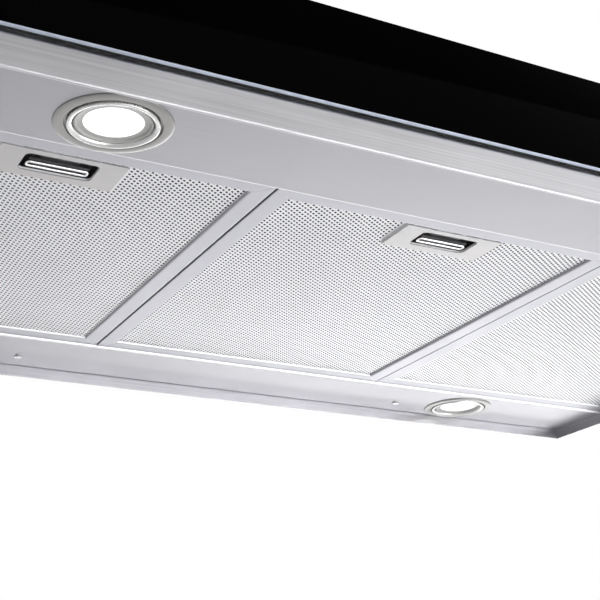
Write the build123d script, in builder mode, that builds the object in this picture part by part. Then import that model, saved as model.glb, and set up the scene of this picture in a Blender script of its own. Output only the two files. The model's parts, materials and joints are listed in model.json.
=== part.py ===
"""Under cabinet range hood, 900 mm wide: a folded canopy with a glass front, two lamp strips,
three tilting grease filters with spring latches, four downlights, a double-inlet blower and a
150 mm duct collar with a butterfly damper.

Frame: millimetres, +X to the right seen from the front, +Y to the wall, +Z up. The origin is the
centre of the four cabinet screws in the top face.
"""

from build123d import *
import math
import os

os.makedirs("parts", exist_ok=True)

# ---------------------------------------------------------------- driving dimensions
WIDTH = 900.0                   # outer width of the canopy
HALF = WIDTH / 2
SHEET = 1.0                     # stainless sheet
WALL_Y = 150.0                  # outer face of the back panel
FRONT_Y = -383.0                # face of the front rim
SKIRT_Z = -180.0                # lowest edge of the skirt
STRIP_Z = -169.5                # lower face of the lamp strips
SIDE_X = HALF - SHEET           # inner face of an end panel
LEDGE_W = 18.0                  # ledge that closes the gap beside the filters
CUT = 1.0                       # how far a cutting shape runs past the face it opens

RIM_TOP_Z = -157.6              # top of the rounded front rim
RIM_R = 2.4                     # round at the top of the rim
HEM_T = 2.6                     # folded hem of the front rim
HEM_R = 1.2
FASCIA_Y = -379.0               # fascia behind the glass
FASCIA_TOP_Z = -84.0
SLOPE_END_Y = -150.0            # where the slope meets the flat top

GLASS_T = 4.0
GLASS_BACK_Y = -382.9
GLASS_LOW_Z = -155.2
GLASS_TOP_Z = -85.5
GLASS_HALF = 448.5
GLASS_CHAMFER = 0.4
TAPE_H = 8.0
TAPE_INSET = 1.0                # tape inside the glass's long edges
TAPE_HALF = 440.0
BOARD_SIZE = (170.0, 34.0)      # touch board, width and height
BOARD_T = 1.6
BOARD_Z = -120.0
KEY_COUNT = 5
KEY_PITCH = 30.0
KEY_R = 5.0
KEY_T = 1.2

CABINET_SCREW_R = 2.75
CABINET_SCREW_X = 700.0
CABINET_SCREW_Y = 200.0

LAMP_X = 281.0
LAMP_FRONT_Y = -330.0
LAMP_REAR_Y = 112.2
LAMP_HOLE_R = 31.0
BEZEL_R = 36.5
BEZEL_INNER_R = 24.0
BEZEL_DROP = 1.8                # bezel below the strip
BEZEL_COLLAR = 1.6              # bezel above the strip, where the can starts
BEZEL_CONE = 4.0                # sloping ring between the lens and the bezel's face
BEZEL_CHAMFER = (1.6, 0.6)
GROOVE_W = 0.8
GROOVE_D = 0.45
LAMP_DEPTH = 16.0               # can above the bezel
LAMP_BODY_R = 30.5
LAMP_SOCKET_R = 12.0
LAMP_SOCKET_H = 5.0
LAMP_ROUND = 1.5
LENS_T = 2.0
LENS_DROP = 0.4                 # lens below the strip

FOLD_TOP_Z = -164.8             # top of the strips' folded inner edges
FOLD_R = 2.2
FRONT_STRIP_END_Y = -291.4
REAR_STRIP_START_Y = 70.3
STRIP_FLANGE_TOP_Z = -160.5

FILTER_X = {"left": -298.4, "middle": 0.2, "right": 297.9}
FILTER_W = 297.0
FILTER_FRONT_Y = -290.6
FILTER_REAR_Y = 69.8
FILTER_LOW_Z = -167.5
FILTER_TOP_Z = -158.5
RAIL_W = 14.5                   # visible width of a frame rail
RAIL_T = 1.9                    # folded lower flange of a rail
RAIL_WEB = 1.0
RAIL_TOP_W = 10.0
RAIL_ROUND = 0.5                # outer lower edges
RAIL_INNER_ROUND = 1.6          # rolled inner lower edges
MITRE_W = 0.3
MITRE_D = 0.4
MESH_T = 0.6
MEDIA_GAP = 0.4                 # between the filter's layers and the handle plate
LUG_X = 90.0                    # lugs each side of the filter's middle
LUG_W = 30.0
LUG_L = 8.0
LUG_T = 2.0
LUG_Z = -164.5                  # lower face of a lug

HANDLE_SHIFT = 7.0              # handle to the right of the filter's middle
PLATE_W = 84.0
PLATE_FRONT_Y = -275.2
PLATE_REAR_Y = -237.2
PLATE_T = 0.8
POCKET_W = 49.0
POCKET_FRONT_Y = -269.6
POCKET_REAR_Y = -246.0
POCKET_R = 4.0
POCKET_TOP_Z = -160.3           # outside of the pocket's roof
CUP_T = 0.8

PULL_W = 42.0
PULL_FRONT_Y = -260.6
PULL_REAR_Y = -250.3
PULL_LOW_Z = -167.2
PULL_ROD_R = 1.65
TONGUE_LOW_Z = -163.9
TONGUE_TOP_Z = -161.9
TONGUE_W = 26.0
TONGUE_END_Y = -294.4
SHOULDER_W = 44.0
SHOULDER_FRONT_Y = -289.3
SHOULDER_REAR_Y = -279.0
LATCH_GAP = 0.3
WEB_INSET = 1.0                 # web between the rods, inside their outer edges
NOSE_CHAMFER = 1.2
SPRING_X = 17.5
SPRING_R = 0.85
SPRING_WIRE_R = 0.2
SPRING_TURNS = 6

AXLE_Y = 10.0                   # blower axis
AXLE_Z = -86.0
SCROLL_R = 58.0                 # first quarter of the scroll
SCROLL_STEP = 6.0               # growth of each further quarter
SCROLL_HALF = 60.0
SCROLL_T = 1.2
CUTOFF_Y = AXLE_Y + 14.0
INLET_R = 42.0
WHEEL_R = 50.0
WHEEL_HALF = 50.0
BLADE_COUNT = 36
BLADE_DEPTH = 9.0
BLADE_T = 1.0
BLADE_ANGLE = 28.0
BLADE_INSET = 0.5               # blades inside the rings' outer edge
WHEEL_RING_T = 2.5
HUB_R = 12.0
HUB_HALF = 8.0
SHAFT_R = 4.0
SHAFT_FIT = 0.05
MOTOR_R = 30.0
MOTOR_X0 = 12.0
MOTOR_X1 = 74.0
MOTOR_ROUND = 3.0
MOTOR_CAP_T = 3.0               # closed end behind the shaft
SHAFT_PAST_HUB = 6.0
SHAFT_END_X = MOTOR_X1 - 4.0
BRACKET_T = 2.0
BRACKET_ARM_W = 14.0
BRACKET_HUB_R = 18.0
BRACKET_REACH = INLET_R + 10.0
FOOT_L = 6.0                    # foot of each arm on the housing

COLLAR_Y = 55.0
COLLAR_R = 75.0
COLLAR_T = 1.0
COLLAR_H = 45.0
COLLAR_FLANGE_R = 90.0
COLLAR_SCREW_R = 83.0
DAMPER_Z = 15.0
DAMPER_T = 1.0
DAMPER_GAP = 0.6
PIN_R = 1.5
PIN_FIT = 0.06
KNUCKLE_R = 2.8
FLAP_START = 3.4                # flap's straight edge from the pin's axis
KNUCKLE_L = 14.0
KNUCKLE_X = {"front": (-44.0, 20.0), "rear": (-20.0, 44.0)}

BOX_X = (-340.0, -200.0)
BOX_Y = (-90.0, 30.0)
BOX_H = 42.0
BOX_T = 1.0
LIP_INSET = 3.0                 # lid's inner lips, from the ends of the box
LIP_GAP = 0.2
LIP_H = 6.0
CIRCUIT_INSET = 8.0             # control board inside the box
CIRCUIT_DROP = 6.0              # board below the box's roof
POST_INSET = 14.0
POST_HALF = 3.0
COMPONENTS = [                  # centre x, centre y, side and height of each
    (-300.0, -50.0, 26.0, 20.0),
    (-245.0, -60.0, 18.0, 15.0),
    (-240.0, -10.0, 14.0, 11.0),
    (-305.0, 2.0, 20.0, 9.0),
]
CAPACITOR_R = 16.0
CAPACITOR_L = 60.0
CAPACITOR_X = BOX_X[1] + 22.0
CAPACITOR_Y = BOX_Y[0] + 20.0
CAPACITOR_DROP = 18.0           # its axis below the top sheet's inner face
CAPACITOR_ROUND = 2.0
STRAP_HALF = 8.0                # strap that holds it to the top
STRAP_Y = (BOX_Y[0] + 40.0, BOX_Y[0] + 60.0)
STRAP_H = 5.0
GLAND_X = -250.0
GLAND_Y = 110.0
GLAND_BORE_R = 4.5
GLAND_R = 8.0
GLAND_NUT_R = 13.0
GLAND_RINGS = [(GLAND_R, -12.0, 12.0), (GLAND_NUT_R, 0.0, 4.0), (GLAND_R + 1.5, 8.0, 16.0)]
GLAND_NUT_T = 4.0
GLAND_DEPTH = 40.0

SCREW_R = 1.6
SCREW_HEAD_R = 3.2
SCREW_HEAD_T = 1.4
SCREW_L = 6.0
REAR_SCREW_X = 206.0
REAR_SCREW_Y = 121.0

COLLAR_SCREWS = [
    (COLLAR_SCREW_R * math.cos(math.radians(a)), COLLAR_Y + COLLAR_SCREW_R * math.sin(math.radians(a)))
    for a in (45, 135, 225, 315)
]
REAR_STRIP_SCREWS = [(-REAR_SCREW_X, REAR_SCREW_Y), (REAR_SCREW_X, REAR_SCREW_Y)]


def save(builder, name):
    builder.part.label = name
    export_step(builder.part, f"parts/{name}.step")


def block(x0, x1, y0, y1, z0, z1, mode=Mode.ADD):
    """A box between two corners, in the builder that is open."""
    with Locations(((x0 + x1) / 2, (y0 + y1) / 2, (z0 + z1) / 2)):
        Box(abs(x1 - x0), abs(y1 - y0), abs(z1 - z0), mode=mode)


# ---------------------------------------------------------------- canopy
def canopy_wrapper():
    """Rim, fascia, slope and top, folded from one sheet, with the front rim hemmed inward."""
    with BuildPart() as wrapper:
        with BuildSketch(Plane.YZ):
            with BuildLine():
                Polyline((FRONT_Y, SKIRT_Z + HEM_R), (FRONT_Y, RIM_TOP_Z - RIM_R))
                RadiusArc((FRONT_Y, RIM_TOP_Z - RIM_R), (FRONT_Y + RIM_R, RIM_TOP_Z), RIM_R)
                Polyline(
                    (FRONT_Y + RIM_R, RIM_TOP_Z),
                    (FASCIA_Y, RIM_TOP_Z),
                    (FASCIA_Y, FASCIA_TOP_Z),
                    (SLOPE_END_Y, 0),
                    (WALL_Y - SHEET, 0),
                )
                offset(amount=SHEET, side=Side.RIGHT)
            make_face()
        extrude(amount=SIDE_X, both=True)
        with BuildSketch(Plane.YZ):
            with Locations((FRONT_Y + HEM_T / 2, (SKIRT_Z + STRIP_Z) / 2)):
                Rectangle(HEM_T, STRIP_Z - SKIRT_Z)
        extrude(amount=SIDE_X, both=True)
        hem_edges = wrapper.edges().filter_by(Axis.X).group_by(Axis.Z)[0]
        fillet(hem_edges, HEM_R)
        with Locations(Plane.XY):
            with GridLocations(CABINET_SCREW_X, CABINET_SCREW_Y, 2, 2):
                Hole(CABINET_SCREW_R, depth=4 * SHEET)
        with Locations((0, COLLAR_Y, 0)):
            Hole(COLLAR_R - COLLAR_T, depth=4 * SHEET)
        with Locations(*[(x, y, 0) for x, y in COLLAR_SCREWS]):
            Hole(SCREW_R, depth=4 * SHEET)
        with Locations((GLAND_X, GLAND_Y, 0)):
            Hole(GLAND_R, depth=4 * SHEET)
    save(wrapper, "canopy_wrapper")


def end_panel(name, side):
    """Flat end with the canopy's outline and a ledge inside that closes the filters' side gap."""
    ledge_z = FILTER_TOP_Z + SHEET
    with BuildPart() as panel:
        with BuildSketch(Plane.YZ.offset(side * SIDE_X)):
            with BuildLine():
                Polyline(
                    (FRONT_Y, SKIRT_Z),
                    (FRONT_Y, RIM_TOP_Z),
                    (FASCIA_Y, RIM_TOP_Z),
                    (FASCIA_Y, FASCIA_TOP_Z),
                    (SLOPE_END_Y, 0),
                    (WALL_Y, 0),
                    (WALL_Y, SKIRT_Z),
                    close=True,
                )
            make_face()
        extrude(amount=side * SHEET)
        block(
            side * (SIDE_X - LEDGE_W), side * SIDE_X, FILTER_FRONT_Y, FILTER_REAR_Y,
            ledge_z, ledge_z + SHEET,
        )
        front_edge = panel.edges().filter_by(Axis.X).group_by(Axis.Y)[0]
        fillet(front_edge, HEM_R)
    save(panel, name)


def back_panel():
    with BuildPart() as panel:
        block(-SIDE_X, SIDE_X, WALL_Y - SHEET, WALL_Y, SKIRT_Z, 0)
    save(panel, "back_panel")


def lamp_strip(name, outer_y, inner_y, lamp_y, screws):
    """Underside strip with a flange against the skirt and a folded edge at the filters."""
    toward = 1 if inner_y > outer_y else -1
    side = Side.LEFT if toward > 0 else Side.RIGHT
    with BuildPart() as strip:
        with BuildSketch(Plane.YZ):
            with BuildLine():
                FilletPolyline(
                    (outer_y, STRIP_FLANGE_TOP_Z),
                    (outer_y, STRIP_Z),
                    (inner_y, STRIP_Z),
                    (inner_y, FOLD_TOP_Z),
                    radius=FOLD_R,
                )
                offset(amount=SHEET, side=side)
            make_face()
        extrude(amount=SIDE_X, both=True)
        with Locations((-LAMP_X, lamp_y, STRIP_Z), (LAMP_X, lamp_y, STRIP_Z)):
            Hole(LAMP_HOLE_R, depth=6 * SHEET)
        if screws:
            with Locations(*[(x, y, STRIP_Z) for x, y in screws]):
                Hole(SCREW_R, depth=6 * SHEET)
    save(strip, name)


# ---------------------------------------------------------------- glass front
def glass_panel():
    with BuildPart() as glass:
        block(-GLASS_HALF, GLASS_HALF, GLASS_BACK_Y - GLASS_T, GLASS_BACK_Y, GLASS_LOW_Z, GLASS_TOP_Z)
        chamfer(glass.faces().filter_by(Axis.Y).edges(), GLASS_CHAMFER)
    save(glass, "glass_panel")


def glass_tape():
    with BuildPart() as tape:
        for low in (GLASS_LOW_Z + TAPE_INSET, GLASS_TOP_Z - TAPE_INSET - TAPE_H):
            block(-TAPE_HALF, TAPE_HALF, GLASS_BACK_Y, FASCIA_Y, low, low + TAPE_H)
    save(tape, "glass_tape")


def touch_board():
    """Circuit board with five touch springs, flat behind the glass."""
    width, height = BOARD_SIZE
    back = GLASS_BACK_Y + BOARD_T
    with BuildPart() as board:
        block(-width / 2, width / 2, GLASS_BACK_Y, back, BOARD_Z - height / 2, BOARD_Z + height / 2)
        with BuildSketch(Plane.XZ.offset(-back)):
            with Locations((0, BOARD_Z)):
                with GridLocations(KEY_PITCH, 1, KEY_COUNT, 1):
                    Circle(KEY_R)
        extrude(amount=-KEY_T)
    save(board, "touch_board")


# ---------------------------------------------------------------- downlights
def lamp(name, x, y):
    """Bezel ring with a grooved face, frosted lens and the can that holds them."""
    face = STRIP_Z - BEZEL_DROP
    lens_low = STRIP_Z - LENS_DROP
    seat = STRIP_Z + BEZEL_COLLAR
    chamfer_w, chamfer_h = BEZEL_CHAMFER
    with BuildPart() as bezel:
        with BuildSketch(Plane.XZ):
            with BuildLine():
                Polyline(
                    (BEZEL_INNER_R, seat),
                    (BEZEL_INNER_R, lens_low),
                    (BEZEL_INNER_R + BEZEL_CONE, face),
                    (BEZEL_R - chamfer_w, face),
                    (BEZEL_R, STRIP_Z - chamfer_h),
                    (BEZEL_R, STRIP_Z),
                    (LAMP_BODY_R, STRIP_Z),
                    (LAMP_BODY_R, seat),
                    close=True,
                )
            make_face()
        revolve(axis=Axis.Z)
        with BuildSketch(Plane.XZ):
            with Locations((BEZEL_INNER_R + BEZEL_CONE + GROOVE_W, face)):
                Rectangle(GROOVE_W, 2 * GROOVE_D)
        revolve(axis=Axis.Z, mode=Mode.SUBTRACT)
    bezel.part = Pos(x, y, 0) * bezel.part
    save(bezel, f"{name}_bezel")

    with BuildPart() as lens:
        with BuildSketch(Plane.XY.offset(lens_low)):
            with Locations((x, y)):
                Circle(BEZEL_INNER_R)
        extrude(amount=LENS_T)
    save(lens, f"{name}_lens")

    with BuildPart() as can:
        with BuildSketch(Plane.XY.offset(seat)):
            with Locations((x, y)):
                Circle(LAMP_BODY_R - SHEET)
        extrude(amount=LAMP_DEPTH)
        with BuildSketch(Plane.XY.offset(seat + LAMP_DEPTH)):
            with Locations((x, y)):
                Circle(LAMP_SOCKET_R)
        extrude(amount=LAMP_SOCKET_H)
        fillet(can.faces().sort_by(Axis.Z)[-1].edges(), LAMP_ROUND)
    save(can, f"{name}_can")


# ---------------------------------------------------------------- grease filters
def filter_frame(name, x):
    """Rails of folded channel, mitred at the corners, with two lugs at the rear and a tongue slot."""
    x0, x1 = x - FILTER_W / 2, x + FILTER_W / 2
    y0, y1 = FILTER_FRONT_Y, FILTER_REAR_Y
    handle = x + HANDLE_SHIFT
    with BuildPart() as frame:
        block(x0, x1, y0, y1, FILTER_LOW_Z, FILTER_TOP_Z)
        block(x0 + RAIL_W, x1 - RAIL_W, y0 + RAIL_W, y1 - RAIL_W, FILTER_LOW_Z, FILTER_TOP_Z, Mode.SUBTRACT)
        inner = RAIL_WEB
        block(
            x0 + inner, x1 - inner, y0 + inner, y1 - inner,
            FILTER_LOW_Z + RAIL_T, FILTER_TOP_Z - RAIL_WEB, Mode.SUBTRACT,
        )
        top = RAIL_TOP_W
        block(
            x0 + top, x1 - top, y0 + top, y1 - top,
            FILTER_TOP_Z - RAIL_WEB, FILTER_TOP_Z, Mode.SUBTRACT,
        )
        low_face = frame.faces().sort_by(Axis.Z)[0]
        outer_edges = low_face.outer_wire().edges()
        inner_edges = low_face.inner_wires()[0].edges()
        fillet(outer_edges, RAIL_ROUND)
        fillet(inner_edges, RAIL_INNER_ROUND)
        for corner_x, corner_y, angle in ((x0, y0, 45), (x1, y0, 135), (x1, y1, 225), (x0, y1, 315)):
            with BuildSketch(Plane.XY.offset(FILTER_LOW_Z)):
                with Locations(Location((corner_x, corner_y), angle)):
                    with Locations((RAIL_W * math.sqrt(0.5), 0)):
                        Rectangle(RAIL_W * math.sqrt(2) + 2 * CUT, MITRE_W)
            extrude(amount=MITRE_D, mode=Mode.SUBTRACT)
        block(
            handle - TONGUE_W / 2 - LATCH_GAP, handle + TONGUE_W / 2 + LATCH_GAP, y0 - CUT, y0 + RAIL_WEB,
            TONGUE_LOW_Z - LATCH_GAP, TONGUE_TOP_Z + LATCH_GAP, Mode.SUBTRACT,
        )
        for lug in (x - LUG_X, x + LUG_X):
            block(lug - LUG_W / 2, lug + LUG_W / 2, y1 - RAIL_WEB, y1 + LUG_L, LUG_Z, LUG_Z + LUG_T)
    save(frame, f"{name}_filter_frame")


def media_layer(node, x, low, high):
    """One layer of the filter's pack, cut back round the handle and its latch."""
    margin = RAIL_WEB
    handle = x + HANDLE_SHIFT
    with BuildPart() as layer:
        block(
            x - FILTER_W / 2 + margin, x + FILTER_W / 2 - margin,
            FILTER_FRONT_Y + margin, FILTER_REAR_Y - margin, low, high,
        )
        block(
            handle - PLATE_W / 2 - MEDIA_GAP, handle + PLATE_W / 2 + MEDIA_GAP,
            FILTER_FRONT_Y, PLATE_REAR_Y + MEDIA_GAP, low, high, Mode.SUBTRACT,
        )
    save(layer, node)


def handle_plate(name, x):
    """Flush plate with a dished pocket; the pocket's front wall has the tongue's slot."""
    handle = x + HANDLE_SHIFT
    pocket_y = (POCKET_FRONT_Y + POCKET_REAR_Y) / 2
    pocket_l = POCKET_REAR_Y - POCKET_FRONT_Y
    with BuildPart() as plate:
        block(
            handle - PLATE_W / 2, handle + PLATE_W / 2, PLATE_FRONT_Y, PLATE_REAR_Y,
            FILTER_LOW_Z, FILTER_LOW_Z + PLATE_T,
        )
        with BuildSketch(Plane.XY.offset(FILTER_LOW_Z)):
            with Locations((handle, pocket_y)):
                RectangleRounded(POCKET_W + 2 * CUP_T, pocket_l + 2 * CUP_T, POCKET_R + CUP_T)
        extrude(amount=POCKET_TOP_Z - FILTER_LOW_Z)
        with BuildSketch(Plane.XY.offset(FILTER_LOW_Z)):
            with Locations((handle, pocket_y)):
                RectangleRounded(POCKET_W, pocket_l, POCKET_R)
        extrude(amount=POCKET_TOP_Z - CUP_T - FILTER_LOW_Z, mode=Mode.SUBTRACT)
        block(
            handle - TONGUE_W / 2 - LATCH_GAP, handle + TONGUE_W / 2 + LATCH_GAP,
            POCKET_FRONT_Y - 2 * CUP_T, POCKET_FRONT_Y,
            TONGUE_LOW_Z - LATCH_GAP, TONGUE_TOP_Z + LATCH_GAP, Mode.SUBTRACT,
        )
        for side in (-1, 1):
            edge = handle + side * PLATE_W / 2
            block(
                edge, edge - side * CUP_T, PLATE_FRONT_Y, PLATE_REAR_Y,
                FILTER_LOW_Z + PLATE_T, FILTER_TOP_Z - RAIL_WEB,
            )
    save(plate, f"{name}_handle_plate")


def latch(name, x):
    """Finger pull of two chrome rods, the tongue that it carries and the two springs behind it."""
    handle = x + HANDLE_SHIFT
    half = PULL_W / 2
    with BuildPart() as pull:
        with BuildSketch(Plane.YZ.offset(handle - half + PULL_ROD_R)):
            with Locations(
                (PULL_FRONT_Y + PULL_ROD_R, PULL_LOW_Z + PULL_ROD_R),
                (PULL_REAR_Y - PULL_ROD_R, PULL_LOW_Z + PULL_ROD_R),
            ):
                Circle(PULL_ROD_R)
        extrude(amount=PULL_W - 2 * PULL_ROD_R)
        with Locations(*[
            (handle + sx * (half - PULL_ROD_R), y, PULL_LOW_Z + PULL_ROD_R)
            for sx in (-1, 1)
            for y in (PULL_FRONT_Y + PULL_ROD_R, PULL_REAR_Y - PULL_ROD_R)
        ]):
            Sphere(PULL_ROD_R)
        block(
            handle - half + PULL_ROD_R, handle + half - PULL_ROD_R,
            PULL_FRONT_Y + WEB_INSET, PULL_REAR_Y - WEB_INSET, PULL_LOW_Z + PULL_ROD_R, TONGUE_LOW_Z,
        )
    save(pull, f"{name}_latch_pull")

    with BuildPart() as tongue:
        block(
            handle - TONGUE_W / 2, handle + TONGUE_W / 2, TONGUE_END_Y, PULL_REAR_Y - WEB_INSET,
            TONGUE_LOW_Z, TONGUE_TOP_Z,
        )
        block(
            handle - SHOULDER_W / 2, handle + SHOULDER_W / 2, SHOULDER_FRONT_Y, SHOULDER_REAR_Y,
            TONGUE_LOW_Z, TONGUE_TOP_Z,
        )
        nose = tongue.faces().sort_by(Axis.Y)[0].edges().sort_by(Axis.Z)[-1]
        chamfer(nose, NOSE_CHAMFER)
    save(tongue, f"{name}_latch_tongue")

    length = POCKET_FRONT_Y - CUP_T - SHOULDER_REAR_Y
    pitch = (length - 4 * SPRING_WIRE_R) / SPRING_TURNS
    start = SHOULDER_REAR_Y + 2 * SPRING_WIRE_R
    middle_z = (TONGUE_LOW_Z + TONGUE_TOP_Z) / 2
    with BuildPart() as spring:
        for sx in (-1, 1):
            seat = (handle + sx * SPRING_X, start, middle_z)
            with BuildLine():
                wire = Helix(pitch, pitch * SPRING_TURNS, SPRING_R, center=seat, direction=(0, 1, 0))
            with BuildSketch(Plane(origin=wire @ 0, z_dir=wire % 0)):
                Circle(SPRING_WIRE_R)
            sweep(path=wire, is_frenet=True)
    save(spring, f"{name}_latch_spring")


# ---------------------------------------------------------------- blower
def scroll_face(inset):
    """Four-centre scroll in the YZ plane, open upward at the rear."""
    y, z, step = AXLE_Y, AXLE_Z, SCROLL_STEP
    r1 = SCROLL_R - inset
    r2 = r1 + step
    r3 = r2 + step
    top = -SHEET + inset
    with BuildSketch(Plane.YZ) as face:
        with BuildLine():
            CenterArc((y, z), r1, 90, 90)
            CenterArc((y + step, z), r2, 180, 90)
            CenterArc((y + step, z + step), r3, 270, 90)
            Polyline(
                (y + step + r3, z + step),
                (y + step + r3, top),
                (CUTOFF_Y + inset, top),
                (CUTOFF_Y + inset, z + r1),
                (y, z + r1),
            )
        make_face()
    return face.sketch


def blower_housing():
    outside = scroll_face(0)
    inside = scroll_face(SCROLL_T)
    with BuildPart() as housing:
        extrude(outside, amount=SCROLL_HALF, both=True)
        extrude(inside, amount=SCROLL_HALF - SCROLL_T, both=True, mode=Mode.SUBTRACT)
        with BuildSketch(Plane.YZ):
            with Locations((AXLE_Y, AXLE_Z)):
                Circle(INLET_R)
        extrude(amount=SCROLL_HALF, both=True, mode=Mode.SUBTRACT)
    save(housing, "blower_housing")


def impeller():
    with BuildPart() as wheel:
        with BuildSketch(Plane.YZ):
            with Locations((AXLE_Y, AXLE_Z)):
                Circle(WHEEL_R)
                Circle(SHAFT_R, mode=Mode.SUBTRACT)
        extrude(amount=WHEEL_RING_T / 2, both=True)
        with BuildSketch(Plane.YZ):
            with Locations((AXLE_Y, AXLE_Z)):
                Circle(HUB_R)
                Circle(SHAFT_R, mode=Mode.SUBTRACT)
        extrude(amount=HUB_HALF, both=True)
        with BuildSketch(Plane.YZ):
            with Locations((AXLE_Y, AXLE_Z)):
                with PolarLocations(WHEEL_R - BLADE_DEPTH / 2 - BLADE_INSET, BLADE_COUNT):
                    Rectangle(BLADE_DEPTH, BLADE_T, rotation=BLADE_ANGLE)
        extrude(amount=WHEEL_HALF - WHEEL_RING_T, both=True)
        for x in (-WHEEL_HALF, WHEEL_HALF - WHEEL_RING_T):
            with BuildSketch(Plane.YZ.offset(x)):
                with Locations((AXLE_Y, AXLE_Z)):
                    Circle(WHEEL_R)
                    Circle(WHEEL_R - BLADE_DEPTH, mode=Mode.SUBTRACT)
            extrude(amount=WHEEL_RING_T)
    save(wheel, "impeller")


def motor():
    """Motor in the right-hand inlet, its shaft through the wheel's hub, on a three-arm bracket."""
    with BuildPart() as shaft:
        with BuildSketch(Plane.YZ.offset(-HUB_HALF - SHAFT_PAST_HUB)):
            with Locations((AXLE_Y, AXLE_Z)):
                Circle(SHAFT_R)
        extrude(amount=SHAFT_END_X + HUB_HALF + SHAFT_PAST_HUB)
    save(shaft, "motor_shaft")

    with BuildPart() as body:
        with BuildSketch(Plane.YZ.offset(MOTOR_X0)):
            with Locations((AXLE_Y, AXLE_Z)):
                Circle(MOTOR_R)
        extrude(amount=MOTOR_X1 - MOTOR_X0)
        fillet(body.edges().filter_by(GeomType.CIRCLE), MOTOR_ROUND)
        with BuildSketch(Plane.YZ.offset(MOTOR_X0)):
            with Locations((AXLE_Y, AXLE_Z)):
                Circle(SHAFT_R + SHAFT_FIT)
        extrude(amount=MOTOR_X1 - MOTOR_X0 - MOTOR_CAP_T, mode=Mode.SUBTRACT)
    save(body, "motor")

    with BuildPart() as bracket:
        with BuildSketch(Plane.YZ.offset(MOTOR_X1)):
            with Locations((AXLE_Y, AXLE_Z)):
                Circle(BRACKET_HUB_R)
                with PolarLocations(BRACKET_REACH / 2, 3, start_angle=90):
                    Rectangle(BRACKET_REACH, BRACKET_ARM_W)
        extrude(amount=BRACKET_T)
        with BuildSketch(Plane.YZ.offset(SCROLL_HALF)):
            with Locations((AXLE_Y, AXLE_Z)):
                with PolarLocations(BRACKET_REACH - FOOT_L / 2, 3, start_angle=90):
                    Rectangle(FOOT_L, BRACKET_ARM_W)
        extrude(amount=MOTOR_X1 - SCROLL_HALF)
    save(bracket, "motor_bracket")


# ---------------------------------------------------------------- duct collar and damper
def duct_collar():
    with BuildPart() as collar:
        with BuildSketch(Plane.XY):
            with Locations((0, COLLAR_Y)):
                Circle(COLLAR_FLANGE_R)
        extrude(amount=SHEET)
        with BuildSketch(Plane.XY):
            with Locations((0, COLLAR_Y)):
                Circle(COLLAR_R)
        extrude(amount=COLLAR_H)
        with BuildSketch(Plane.XY):
            with Locations((0, COLLAR_Y)):
                Circle(COLLAR_R - COLLAR_T)
        extrude(amount=COLLAR_H, mode=Mode.SUBTRACT)
        with Locations(*[(x, y, SHEET) for x, y in COLLAR_SCREWS]):
            Hole(SCREW_R, depth=4 * SHEET)
        with BuildSketch(Plane.YZ):
            with Locations((COLLAR_Y, DAMPER_Z)):
                Circle(PIN_R)
        extrude(amount=COLLAR_R + CUT, both=True, mode=Mode.SUBTRACT)
    save(collar, "duct_collar")

    with BuildPart() as pin:
        with BuildSketch(Plane.YZ):
            with Locations((COLLAR_Y, DAMPER_Z)):
                Circle(PIN_R)
        extrude(amount=COLLAR_R, both=True)
    save(pin, "damper_pin")


def damper_flap(name, side):
    """Half disc with two knuckles on the pin; side is -1 in front of the pin and +1 behind it."""
    radius = COLLAR_R - COLLAR_T - DAMPER_GAP
    low = DAMPER_Z - DAMPER_T / 2
    with BuildPart() as flap:
        with BuildSketch(Plane.XY.offset(low)):
            with Locations((0, COLLAR_Y)):
                Circle(radius)
            with Locations((0, COLLAR_Y + side * (FLAP_START - radius))):
                Rectangle(2 * radius, 2 * radius, mode=Mode.SUBTRACT)
        extrude(amount=DAMPER_T)
        for x in KNUCKLE_X[name]:
            with BuildSketch(Plane.YZ.offset(x - KNUCKLE_L / 2)):
                with Locations((COLLAR_Y, DAMPER_Z)):
                    Circle(KNUCKLE_R)
            extrude(amount=KNUCKLE_L)
            block(
                x - KNUCKLE_L / 2, x + KNUCKLE_L / 2, COLLAR_Y, COLLAR_Y + side * (FLAP_START + 1),
                low, low + DAMPER_T,
            )
        with BuildSketch(Plane.YZ):
            with Locations((COLLAR_Y, DAMPER_Z)):
                Circle(PIN_R + PIN_FIT)
        extrude(amount=radius, both=True, mode=Mode.SUBTRACT)
    save(flap, f"damper_{name}")


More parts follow.
